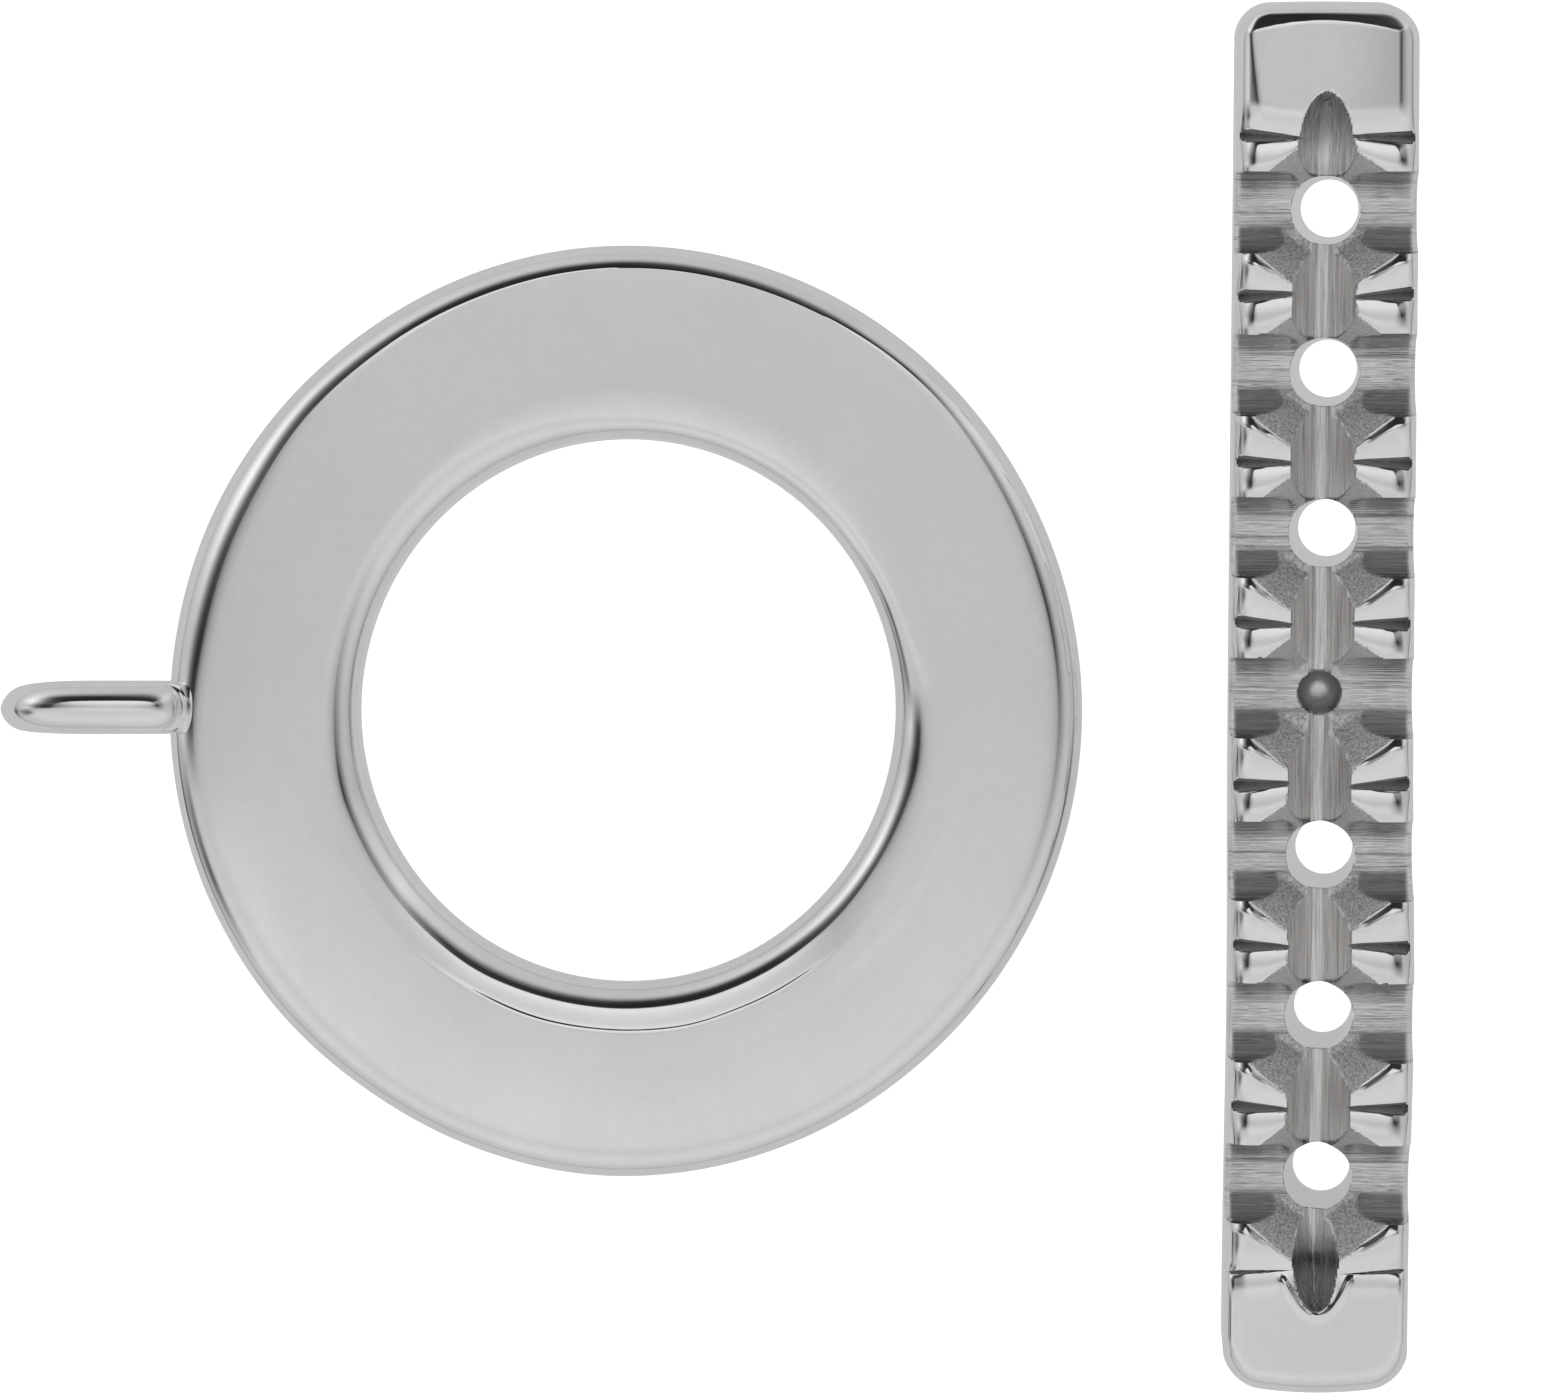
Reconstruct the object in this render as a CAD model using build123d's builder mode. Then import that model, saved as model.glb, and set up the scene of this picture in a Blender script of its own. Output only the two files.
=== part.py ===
from build123d import *
import os
from math import asin, atan2, cos, degrees, hypot, radians, sin, sqrt, tan

os.makedirs("parts", exist_ok=True)

# Toggle clasp: a flat ring and a bar with seven empty stone seats, lying side by side.
# Millimetres. X across both pieces, Y along the bar, +Z up, floor at Z = 0.
# Origin: the floor under the middle of the two pieces together.

# Ring plate
plate_across = 12.0
plate_along = 12.25
opening_across = 7.05
opening_along = 7.15
plate_thick = 1.4
plate_top_round = 0.38
plate_bottom_round = 0.3
opening_top_round = 0.42
opening_bottom_round = 0.3

# Ring eye, a wire loop standing on edge at the left of the plate
ring_eye_outer = 2.5
ring_eye_hole = 1.3
ring_eye_wide = 0.7
ring_eye_sink = 0.27
ring_eye_shift = 0.045
ring_eye_outer_round = 0.3
ring_eye_hole_round = 0.18

# Bar block
bar_wide = 2.34
bar_long = 18.08
bar_end_crown = 0.08
bar_thick = 1.75
bar_corner = 0.46
bar_top_round = 0.32
bar_bottom_round = 0.15

# Stone seats
stone_round = 2.0
stone_gap = 0.1
seat_count = 7
seat_shift = 0.055
seat_straight = 0.05
seat_slope = 45.0
seat_foot = 0.72
hole_round = 0.86
drill_start_deep = 0.08
dimple_round = 0.54
cross_channel_wide = 1.02
cross_channel_deep = 0.7
cross_channel_foot = 0.66
cross_channel_foot_round = 0.3

# Long groove between the prongs
groove_wide = 0.82
groove_floor = 0.13
groove_deep = 0.75
groove_end_run = 0.6
groove_end_margin = 1.115

# Saw notches that part each pair of prongs
notch_wide = 0.2
notch_deep = 0.42
notch_inner_deep = 0.14

# Bar eye, a wire loop under the middle of the bar
bar_eye_hole = 0.75
bar_eye_wire = 0.4
bar_eye_wide = 0.6
bar_eye_drop = 0.31
bar_eye_outer_round = 0.15
bar_eye_hole_round = 0.1

# Where the two pieces lie
ring_middle_x = -1.022
ring_middle_y = -0.153
bar_middle_x = 8.038
bar_middle_y = 0.097
bar_turn = -0.25

# Seat and notch places along the bar
seat_pitch = stone_round + stone_gap
seat_places = [(i - (seat_count - 1) / 2) * seat_pitch + seat_shift for i in range(seat_count)]
notch_places = [(i - seat_count / 2) * seat_pitch + seat_shift for i in range(seat_count + 1)]
channel_floor = bar_thick - cross_channel_deep
eye_centre_z = -bar_eye_drop
bar_eye_outer = bar_eye_hole + 2 * bar_eye_wire


# Ring drawn flat, its middle at the origin
ring_ovals = [
    (plate_across, plate_along, Mode.ADD),
    (opening_across, opening_along, Mode.SUBTRACT),
]

with BuildPart() as ring_flat:
    with BuildSketch(Plane.XY.offset(-plate_thick / 2)):
        for across, along, use in ring_ovals:
            shift = (along - across) / 2 / (2 - sqrt(2))
            with BuildLine():
                CenterArc((0, shift), along / 2 - shift, 45, 90)
                CenterArc((shift, 0), across / 2 + shift, 135, 90)
                CenterArc((0, -shift), along / 2 - shift, 225, 90)
                CenterArc((-shift, 0), across / 2 + shift, 315, 90)
            make_face(mode=use)
    extrude(amount=plate_thick)
    top_edges = ring_flat.faces().sort_by(Axis.Z)[-1].edges().sort_by(SortBy.LENGTH)
    bottom_edges = ring_flat.faces().sort_by(Axis.Z)[0].edges().sort_by(SortBy.LENGTH)
    fillet(top_edges[4:], plate_top_round)
    fillet(top_edges[:4], opening_top_round)
    fillet(bottom_edges[4:], plate_bottom_round)
    fillet(bottom_edges[:4], opening_bottom_round)

# Wire eye of the ring, hole along Y
ring_eye_reach = ring_eye_outer / 2 - ring_eye_sink
ring_eye_x = -plate_across / 2 - ring_eye_reach

with BuildPart() as ring_eye:
    with BuildSketch(Plane.XZ.offset(-ring_eye_wide / 2 - ring_eye_shift)):
        with Locations((ring_eye_x, 0)):
            Circle(ring_eye_outer / 2)
            Circle(ring_eye_hole / 2, mode=Mode.SUBTRACT)
    extrude(amount=ring_eye_wide)
    rims = ring_eye.edges().filter_by(GeomType.CIRCLE).group_by(SortBy.RADIUS)
    fillet(rims[-1], ring_eye_outer_round)
    fillet(rims[0], ring_eye_hole_round)


# Bar drawn upright, its underside at Z = 0, its ends a little crowned
bar_side_end = bar_long / 2 - bar_end_crown

with BuildPart() as bar_block:
    with BuildSketch() as bar_outline:
        with BuildLine():
            Line((bar_wide / 2, -bar_side_end), (bar_wide / 2, bar_side_end))
            ThreePointArc((bar_wide / 2, bar_side_end), (0, bar_long / 2), (-bar_wide / 2, bar_side_end))
            Line((-bar_wide / 2, bar_side_end), (-bar_wide / 2, -bar_side_end))
            ThreePointArc((-bar_wide / 2, -bar_side_end), (0, -bar_long / 2), (bar_wide / 2, -bar_side_end))
        make_face()
        fillet(bar_outline.vertices(), bar_corner)
    extrude(amount=bar_thick)
    fillet(bar_block.faces().sort_by(Axis.Z)[-1].edges(), bar_top_round)
    fillet(bar_block.faces().sort_by(Axis.Z)[0].edges(), bar_bottom_round)

# Long groove, its floor rising at both ends so that it closes in a pointed arch
groove_side_slope = (groove_wide - groove_floor) / 2 / groove_deep
groove_reach = bar_long / 2 - groove_end_margin - groove_end_run
groove_lift = 0.5
groove_floor_z = bar_thick - groove_deep
groove_lift_half = groove_wide / 2 + groove_lift * groove_side_slope
arch_lift_half = groove_floor / 2 + groove_lift * groove_side_slope
groove_sections = [
    (-groove_reach - groove_end_run, bar_thick, arch_lift_half),
    (-groove_reach, groove_floor_z, groove_lift_half),
    (groove_reach, groove_floor_z, groove_lift_half),
    (groove_reach + groove_end_run, bar_thick, arch_lift_half),
]

with BuildPart() as groove_cutter:
    for y, floor_z, lift_half in groove_sections:
        with BuildSketch(Plane.XZ.offset(-y)):
            with BuildLine():
                Polyline(
                    (-groove_floor / 2, floor_z),
                    (groove_floor / 2, floor_z),
                    (lift_half, bar_thick + groove_lift),
                    (-lift_half, bar_thick + groove_lift),
                    close=True,
                )
            make_face()
    loft(ruled=True)

# Channel sawn straight across the bar at each seat
channel_half = cross_channel_wide / 2
channel_foot_half = cross_channel_foot / 2
channel_flare = (channel_half - channel_foot_half) / cross_channel_deep
channel_lift = 0.3

with BuildPart() as channel_cutter:
    with BuildSketch(Plane.YZ.offset(-bar_wide)) as channel_shape:
        with BuildLine():
            Polyline(
                (-channel_foot_half, channel_floor),
                (channel_foot_half, channel_floor),
                (channel_half + channel_lift * channel_flare, bar_thick + channel_lift),
                (-channel_half - channel_lift * channel_flare, bar_thick + channel_lift),
                close=True,
            )
        make_face()
        fillet(channel_shape.vertices().group_by(Axis.Y)[0], cross_channel_foot_round)
    extrude(amount=2 * bar_wide)

# Burr that cuts the round stone seat
seat_slope_run = (stone_round - seat_foot) / 2
seat_slope_fall = seat_slope_run / tan(radians(seat_slope))

with BuildPart() as seat_cutter:
    with BuildSketch(Plane.XZ):
        with BuildLine():
            Polyline(
                (0, bar_thick + 0.2),
                (stone_round / 2, bar_thick + 0.2),
                (stone_round / 2, bar_thick - seat_straight),
                (seat_foot / 2, bar_thick - seat_straight - seat_slope_fall),
                (0, bar_thick - seat_straight - seat_slope_fall),
                close=True,
            )
        make_face()
    revolve(axis=Axis.Z)

# File that cuts one pair of notches, rising towards the groove
notch_run = (bar_wide - groove_wide) / 2
notch_rise = atan2(notch_deep - notch_inner_deep, notch_run)
notch_half_ratio = notch_wide / 2 / notch_deep
notch_start = 0.3
notch_top = notch_deep + 0.4

with BuildPart() as notch_cutter:
    for side in (-1, 1):
        start_plane = Plane(
            origin=(
                side * (bar_wide / 2 + notch_start),
                0,
                bar_thick - notch_deep - notch_start * tan(notch_rise),
            ),
            x_dir=(0, 1, 0),
            z_dir=(-side * cos(notch_rise), 0, sin(notch_rise)),
        )
        up = 1 if start_plane.y_dir.Z > 0 else -1
        with BuildSketch(start_plane):
            with BuildLine():
                Polyline(
                    (0, 0),
                    (notch_half_ratio * notch_top, up * notch_top),
                    (-notch_half_ratio * notch_top, up * notch_top),
                    close=True,
                )
            make_face()
        extrude(amount=notch_run + notch_start + 0.4)

# Wire eye under the middle of the bar, hole across the bar
with BuildPart() as bar_eye:
    with BuildSketch(Plane.YZ.offset(-bar_eye_wide / 2)):
        with Locations((0, eye_centre_z)):
            Circle(bar_eye_outer / 2)
            Circle(bar_eye_hole / 2, mode=Mode.SUBTRACT)
    extrude(amount=bar_eye_wide)
    rims = bar_eye.edges().filter_by(GeomType.CIRCLE).group_by(SortBy.RADIUS)
    fillet(rims[-1], bar_eye_outer_round)
    fillet(rims[0], bar_eye_hole_round)

# Bar with all its cuts and its soldered eye
with BuildPart() as bar_flat:
    add(bar_block.part)
    add(groove_cutter.part, mode=Mode.SUBTRACT)
    with Locations(*[(0, y, 0) for y in seat_places]):
        add(channel_cutter.part, mode=Mode.SUBTRACT)
        add(seat_cutter.part, mode=Mode.SUBTRACT)
    with Locations(*[(0, y, 0) for y in notch_places]):
        add(notch_cutter.part, mode=Mode.SUBTRACT)
    with Locations(*[(0, y, bar_thick) for y in seat_places if abs(y) > seat_pitch / 2]):
        Hole(hole_round / 2)
    with Locations((0, seat_shift, channel_floor - drill_start_deep / 2)):
        Cone(
            dimple_round / 2,
            hole_round / 2,
            drill_start_deep,
            align=(Align.CENTER, Align.CENTER, Align.CENTER),
            mode=Mode.SUBTRACT,
        )
    with Locations((0, seat_shift, channel_floor - drill_start_deep)):
        Sphere(dimple_round / 2, mode=Mode.SUBTRACT)
    add(bar_eye.part)


# How the ring lies: on its eye and on the far edge of its plate, eye side raised
ring_edge_x = plate_across / 2 - plate_bottom_round
ring_edge_z = -plate_thick / 2 + plate_bottom_round
ring_span = hypot(ring_edge_x - ring_eye_x, ring_edge_z)
ring_lean = degrees(
    asin((ring_eye_outer / 2 - plate_bottom_round) / ring_span)
    + atan2(ring_edge_z, ring_edge_x - ring_eye_x)
)
ring_rise = ring_eye_outer / 2 + ring_eye_x * sin(radians(ring_lean))

ring_rest = Pos(ring_middle_x, ring_middle_y, ring_rise) * Rot(0, ring_lean, 0)

with BuildPart() as toggle_ring:
    with Locations(ring_rest):
        add(ring_flat.part)
        add(ring_eye.part)

# How the bar lies: on its eye and on its near end, far end raised
bar_edge_y = bar_long / 2 - bar_bottom_round
bar_edge_z = bar_bottom_round - eye_centre_z
bar_span = hypot(bar_edge_y, bar_edge_z)
bar_lean = degrees(
    asin((bar_eye_outer / 2 - bar_bottom_round) / bar_span)
    + atan2(bar_edge_z, bar_edge_y)
)
bar_rise = bar_eye_outer / 2 - eye_centre_z * cos(radians(bar_lean))

bar_turned = Pos(bar_middle_x, bar_middle_y, bar_rise) * Rot(0, 0, bar_turn)
bar_rest = bar_turned * Rot(bar_lean, 0, 0)

with BuildPart() as toggle_bar:
    with Locations(bar_rest):
        add(bar_flat.part)

toggle_ring.part.label = "toggle_ring"
toggle_bar.part.label = "toggle_bar"
export_step(toggle_ring.part, "parts/toggle_ring.step")
export_step(toggle_bar.part, "parts/toggle_bar.step")
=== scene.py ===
import math

import bpy
import numpy as np
from mathutils import Matrix, Vector


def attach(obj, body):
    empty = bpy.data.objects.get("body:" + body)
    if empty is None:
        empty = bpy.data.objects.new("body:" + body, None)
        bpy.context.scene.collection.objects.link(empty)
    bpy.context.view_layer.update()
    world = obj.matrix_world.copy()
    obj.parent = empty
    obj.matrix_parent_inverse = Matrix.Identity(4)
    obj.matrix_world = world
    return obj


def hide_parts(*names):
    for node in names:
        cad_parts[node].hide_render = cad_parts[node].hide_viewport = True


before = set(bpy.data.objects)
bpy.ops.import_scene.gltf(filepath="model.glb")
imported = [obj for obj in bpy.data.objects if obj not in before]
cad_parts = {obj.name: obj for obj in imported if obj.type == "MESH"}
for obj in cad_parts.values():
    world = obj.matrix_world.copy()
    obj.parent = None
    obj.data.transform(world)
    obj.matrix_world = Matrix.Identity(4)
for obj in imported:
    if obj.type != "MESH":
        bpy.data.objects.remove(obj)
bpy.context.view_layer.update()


# The ring's plate: a flat round plate of polished white silver, slightly oval, its edges broken by
# hand on a buffing wheel, so that their width wanders all the way round. The lower edge of the
# opening has a wide soft bevel that starts at a faint crease.
MM = 0.001
RING_HALF_X, RING_HALF_Y = 6.0, 6.125
OPENING_HALF_X, OPENING_HALF_Y = 3.525, 3.575
PLATE_THICK = 1.4
PLATE_STEPS, ROUND_STEPS, EDGE_STEPS, FACE_STEPS, CREASE_STEPS = 720, 9, 30, 10, 16
EDGE_POWER, EDGE_CROWDING = 2.6, 1.25
WALL_SHARES = (0.33, 0.66)
OUTER_FALL, INNER_FALL, LOW_ROUND = 0.40, 0.36, 0.29
DOME = 0.014
RING_LEAN = 2.4878
RING_MIDDLE = (-1.022, -0.153, 0.94702)
CREASE_MIDDLE, CREASE_GAP, CREASE_PAST, CREASE_SHORT = 0.612, 0.045, 0.075, 0.03
FACE_STOP, FACE_WAVE = 0.98, 0.0015
# How the face falls away near its edges: how far in it starts, how fast it falls and how deep it goes.
OUTER_SOFT_REACH, OUTER_SOFT_BEND, OUTER_FACET_SLOPE = 0.62, 0.16, 0.19
BEVEL_SLOPE, CREASE_DROP, CREASE_HALF = 0.085, 0.0116, 0.046
INNER_SOFT_REACH, INNER_SOFT_BEND = 0.60, 0.20
INNER_LIGHT_REACH, INNER_LIGHT_BEND = 0.74, 0.050
# Round the ring: polar angle in degrees, with a size in millimetres or a share from 0 to 1.
OUTER_WIDTH = (
    (0, 0.42), (15, 0.43), (35, 0.42), (48, 0.34), (60, 0.31), (90, 0.32), (105, 0.36), (120, 0.38),
    (132, 0.46), (150, 0.56), (165, 0.54), (180, 0.47), (210, 0.54), (225, 0.50), (240, 0.42), (265, 0.46),
    (300, 0.42), (325, 0.46), (345, 0.44),
)
OUTER_FACET = ((0, 0), (42, 0), (54, 1), (122, 1), (138, 0), (345, 0))
OUTER_FACET_LINE = (
    (0, 0.27), (50, 0.27), (60, 0.315), (70, 0.332), (80, 0.325), (90, 0.320), (103, 0.345), (112, 0.352),
    (122, 0.343), (132, 0.375), (345, 0.27),
)
OUTER_SHIFT = (
    (0, -0.018), (30, -0.028), (60, -0.008), (100, -0.003), (125, -0.020), (140, 0), (155, 0.024),
    (175, 0.020), (200, 0.020), (220, 0.004), (235, -0.042), (250, -0.026), (265, 0.003), (280, -0.012),
    (310, -0.050), (330, -0.034), (345, -0.022),
)
INNER_SHIFT = ((0, 0.013), (30, 0.020), (180, 0.020), (210, 0.007), (290, 0.008), (315, -0.003), (345, 0.006))
INNER_WIDTH = (
    (0, 0.44), (12, 0.32), (25, 0.26), (90, 0.26), (108, 0.40), (125, 0.46), (165, 0.46), (190, 0.50),
    (205, 0.46), (225, 0.54), (240, 0.52), (250, 0.45), (275, 0.45), (300, 0.43), (318, 0.42), (332, 0.38),
    (345, 0.45),
)
OUTER_SOFT = ((0, 0.35), (25, 0.3), (45, 0), (135, 0), (150, 1), (172, 1), (182, 0), (345, 0))
BEVEL = ((0, 0), (205, 0), (228, 0.5), (240, 1), (313, 1), (324, 0), (345, 0))
CREASE = (
    (0, 0), (226, 0), (238, 0.55), (248, 0.86), (256, 0.80), (266, 0.75), (276, 0.78), (288, 0.74),
    (298, 0.80), (307, 0.76), (316, 0), (345, 0),
)
INNER_SOFT = ((0, 0.7), (12, 0), (185, 0), (196, 0.8), (215, 0.5), (230, 0), (310, 0), (326, 1), (350, 1))
INNER_LIGHT = ((0, 0.1), (30, 0.4), (55, 1), (115, 1), (140, 0.2), (170, 0), (345, 0))


def hand_wobble(turn, seed, highest):
    """Slow wandering between about -1 and 1 along a closed edge."""
    rng = np.random.default_rng(seed)
    wave = np.zeros_like(turn)
    for times in range(1, highest + 1):
        wave += rng.normal() * np.sin(times * turn + rng.uniform(0, math.tau)) / times**0.7
    return wave / max(np.abs(wave).max(), 1e-9)


def soft_step(value, low, high):
    """0 below low, 1 above high, smooth between."""
    share = np.clip((value - low) / (high - low), 0, 1)
    return share * share * (3 - 2 * share)


def all_round(table, turn, soften=4.0):
    """A size that changes round the ring, without kinks between the angles of its table."""
    angles, sizes = zip(*table)
    spread = np.interp(np.degrees(turn), angles, sizes, period=360)
    times = np.fft.fftfreq(len(turn), 1 / len(turn))
    return np.fft.ifft(np.fft.fft(spread) * np.exp(-0.5 * (times * math.radians(soften)) ** 2)).real


def mesh_piece(name, points, faces):
    """A new smooth mesh object from points in millimetres."""
    mesh = bpy.data.meshes.new(name)
    mesh.from_pydata((points * MM).tolist(), [], faces)
    mesh.validate()
    piece = bpy.data.objects.new(name, mesh)
    bpy.context.scene.collection.objects.link(piece)
    mesh.shade_smooth()
    return piece


def closed_band(rows, columns):
    """Quads of a grid that closes on itself both ways."""
    quads = []
    for i in range(rows):
        j = (i + 1) % rows
        for k in range(columns):
            m = (k + 1) % columns
            quads.append((i * columns + k, j * columns + k, j * columns + m, i * columns + m))
    return quads


def boolean(main, other, operation):
    """Joins another closed skin to the main one, or cuts it away."""
    change = main.modifiers.new("change", "BOOLEAN")
    change.operation = operation
    change.solver = "MANIFOLD"
    change.object = other
    depsgraph = bpy.context.evaluated_depsgraph_get()
    changed = bpy.data.meshes.new_from_object(main.evaluated_get(depsgraph))
    main.modifiers.clear()
    old = main.data
    main.data = changed
    bpy.data.meshes.remove(old)
    bpy.data.objects.remove(other)


turn = np.linspace(0, math.tau, PLATE_STEPS, endpoint=False)
half = PLATE_THICK / 2
outer_width = all_round(OUTER_WIDTH, turn) + 0.008 * hand_wobble(turn, 3, 24)
inner_width = all_round(INNER_WIDTH, turn) + 0.010 * hand_wobble(turn, 5, 24)
low_round = LOW_ROUND + 0.01 * hand_wobble(turn, 7, 7)
outer_soft = all_round(OUTER_SOFT, turn)
bevel = all_round(BEVEL, turn)
crease = np.maximum(all_round(CREASE, turn), 0) * (1 + 0.04 * hand_wobble(turn, 19, 60))
inner_soft = all_round(INNER_SOFT, turn)
inner_light = all_round(INNER_LIGHT, turn)
crease_line = np.maximum(CREASE_MIDDLE + 0.024 * hand_wobble(turn, 11, 26), inner_width + CREASE_GAP)
facet = np.maximum(all_round(OUTER_FACET, turn), 0)
facet_line = all_round(OUTER_FACET_LINE, turn) + 0.006 * hand_wobble(turn, 13, 40)
face_width = RING_HALF_X - OPENING_HALF_X


def face_drop(outer_inset):
    """How far the buffed face has sunk below flat, by the distance in from the outer edge."""
    off = (outer_inset - face_width / 2) / (face_width / 2)
    return DOME * off**2


def outer_drop(inset):
    """The same with the outer edge's soft fall and filed facet."""
    short = np.maximum(OUTER_SOFT_REACH - inset, 0)
    beyond = np.maximum(facet_line - inset, 0)
    return face_drop(inset) + OUTER_SOFT_BEND * outer_soft * short**2 + OUTER_FACET_SLOPE * facet * beyond


def inner_drop(inset):
    """The same by the distance in from the opening, with its bevel, crease and soft falls."""
    drop = face_drop(face_width - inset)
    drop = drop + bevel * BEVEL_SLOPE * np.maximum(crease_line - inset, 0)
    drop = drop + crease * CREASE_DROP * soft_step(crease_line + CREASE_HALF - inset, 0, 2 * CREASE_HALF)
    drop = drop + inner_soft * INNER_SOFT_BEND * np.maximum(INNER_SOFT_REACH - inset, 0) ** 2
    return drop + inner_light * INNER_LIGHT_BEND * np.maximum(INNER_LIGHT_REACH - inset, 0) ** 2


def low_edge(side, first, last):
    """Rows round the lower edge of one side."""
    for tilt in np.radians(np.linspace(first, last, ROUND_STEPS)):
        inset = low_round * (1 - np.sin(tilt))
        section.append((side, inset, -half + low_round * (1 + np.cos(tilt))))


def top_edge(side, laps, width, fall, drop):
    """Rows over the broken upper edge of one side."""
    for lap in laps:
        inset = width * (1 - math.cos(lap) ** (2 / EDGE_POWER))
        rise = math.sin(lap) ** (2 / EDGE_POWER)
        section.append((side, inset, half - fall * (1 - rise) - drop(inset)))


# The plate's section, in rows from the underside up the outer wall, over the face and down the
# opening. Each row is a side, a distance in from that side's edge and a height.
section = []
low_edge("outer", 180, 90)
low = -half + low_round
top_of_wall = half - OUTER_FALL - outer_drop(0)
for share in WALL_SHARES:
    section.append(("outer", 0 * turn, low + (top_of_wall - low) * share))
rounding = np.radians(90 * np.linspace(0, 1, EDGE_STEPS) ** EDGE_CROWDING)
top_edge("outer", rounding, outer_width, OUTER_FALL, outer_drop)
# Rows close to the filed facet's line keep it crisp.
for beyond in (0.015, 0.006, 0.0, -0.006, -0.02):
    inset = np.where(facet > 0.01, facet_line - beyond, outer_width + 0.03 - beyond)
    inset = np.maximum(inset, outer_width + 0.003 * (1 - beyond / 0.015))
    section.append(("outer", inset, half - outer_drop(inset)))
last = section[-1][1]
for share in np.linspace(0, 1, FACE_STEPS + 1)[1:]:
    inset = last + (face_width - FACE_STOP - last) * share
    wave = FACE_WAVE * hand_wobble(turn + inset, 17, 5)
    section.append(("outer", inset, half - outer_drop(inset) - wave))
for inset in (0.9, 0.84, 0.79, 0.75):
    section.append(("inner", inset + 0 * turn, half - inner_drop(inset + 0 * turn)))
for beyond in np.linspace(CREASE_PAST, -CREASE_SHORT, CREASE_STEPS):
    inset = crease_line + beyond
    section.append(("inner", inset, half - inner_drop(inset)))
for share in (0.2, 0.4, 0.6, 0.8):
    inset = (crease_line - CREASE_SHORT) * (1 - share) + inner_width * share
    section.append(("inner", inset, half - inner_drop(inset)))
top_edge("inner", rounding[::-1], inner_width, INNER_FALL, inner_drop)
top_of_wall = half - INNER_FALL - inner_drop(0)
for share in WALL_SHARES:
    section.append(("inner", 0 * turn, top_of_wall + (low - top_of_wall) * share))
low_edge("inner", 90, 180)
for inset in (0.9, 1.3):
    section.append(("inner", inset + 0 * turn, -half + 0 * turn))

columns = len(section)
plate_points = np.zeros((PLATE_STEPS, columns, 3))
for k, (side, inset, height) in enumerate(section):
    if side == "outer":
        inset = inset - all_round(OUTER_SHIFT, turn)
        reach_x, reach_y = RING_HALF_X - inset, RING_HALF_Y - inset
    else:
        inset = inset + all_round(INNER_SHIFT, turn)
        reach_x, reach_y = OPENING_HALF_X + inset, OPENING_HALF_Y + inset
    plate_points[:, k, 0] = reach_x * np.cos(turn)
    plate_points[:, k, 1] = reach_y * np.sin(turn)
    plate_points[:, k, 2] = height
ring = mesh_piece("toggle_ring_metal", plate_points.reshape(-1, 3), closed_band(PLATE_STEPS, columns))


# The ring's eye: a loop of round silver wire standing on edge, flattened a little where it was
# filed at the far side, its neck soldered to the plate's left edge with a little hard solder.
EYE_MIDDLE = (-6.98, 0.045, 0.0)
EYE_OUTER, EYE_HOLE, EYE_WIDE = 2.5, 1.3, 0.7
EYE_LOW = 0.996
EYE_SQUARE = (8.0, 3.7)
EYE_FILED, EYE_OFF_LINE, EYE_LONGER = 0.26, 0.05, 0.03
FAR_FROM, FAR_LONG = 0.1, 1.35
RING_SHARP = 60
# The solder's neck, from inside the eye's wire into the plate: place in from the edge, radius.
NECK = ((-0.27, 0.16), (-0.16, 0.32), (-0.06, 0.345), (0.01, 0.39), (0.07, 0.41), (0.35, 0.30))
NECK_HIGH, NECK_SIDES = 0.92, 40


def wire_loop(middle, outer, hole, wide, plane, around=140, across=36, squareness=2.1, powers=(2.0, 2.0)):
    """A closed loop of wire, slightly flattened, standing in the XZ or YZ plane."""
    angle = np.linspace(0, math.tau, around, endpoint=False)[:, None]
    lap = np.linspace(0, math.tau, across, endpoint=False)[None, :]
    bend, thick = (outer + hole) / 4, (outer - hole) / 4
    wire_power = 2 / squareness
    out = np.sign(np.cos(lap)) * np.abs(np.cos(lap)) ** wire_power
    over = np.sign(np.sin(lap)) * np.abs(np.sin(lap)) ** wire_power
    power = np.where(np.cos(angle) > 0, powers[0], powers[1])
    square = (np.abs(np.cos(angle)) ** power + np.abs(np.sin(angle)) ** power) ** (-1 / power)
    radius = bend * square + thick * out
    along = radius * np.cos(angle)
    up = radius * np.sin(angle)
    side = wide / 2 * over + 0 * angle
    loop = np.zeros((around, across, 3))
    first, second = (0, 1) if plane == "XZ" else (1, 0)
    loop[..., first] = middle[first] + along
    loop[..., second] = middle[second] + (side if plane == "XZ" else -side)
    loop[..., 2] = middle[2] + up
    return loop, [tuple(reversed(q)) for q in closed_band(around, across)]


def capped_tube(rows, columns):
    """Faces of a tube of rows of points, closed round and at both ends."""
    faces = []
    for i in range(rows - 1):
        for k in range(columns):
            m = (k + 1) % columns
            faces.append((i * columns + k, i * columns + m, (i + 1) * columns + m, (i + 1) * columns + k))
    faces.append(tuple(reversed(range(columns))))
    faces.append(tuple(range((rows - 1) * columns, rows * columns)))
    return faces


def lay_down(piece, rest):
    """Keeps each point's place on the bench for the finish, then lays the piece as it rests."""
    bench_place = np.zeros(len(piece.data.vertices) * 3, np.float32)
    piece.data.vertices.foreach_get("co", bench_place)
    kept_place = piece.data.attributes.new("flat_place", "FLOAT_VECTOR", "POINT")
    kept_place.data.foreach_set("vector", bench_place)
    piece.data.transform(rest)


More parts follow.
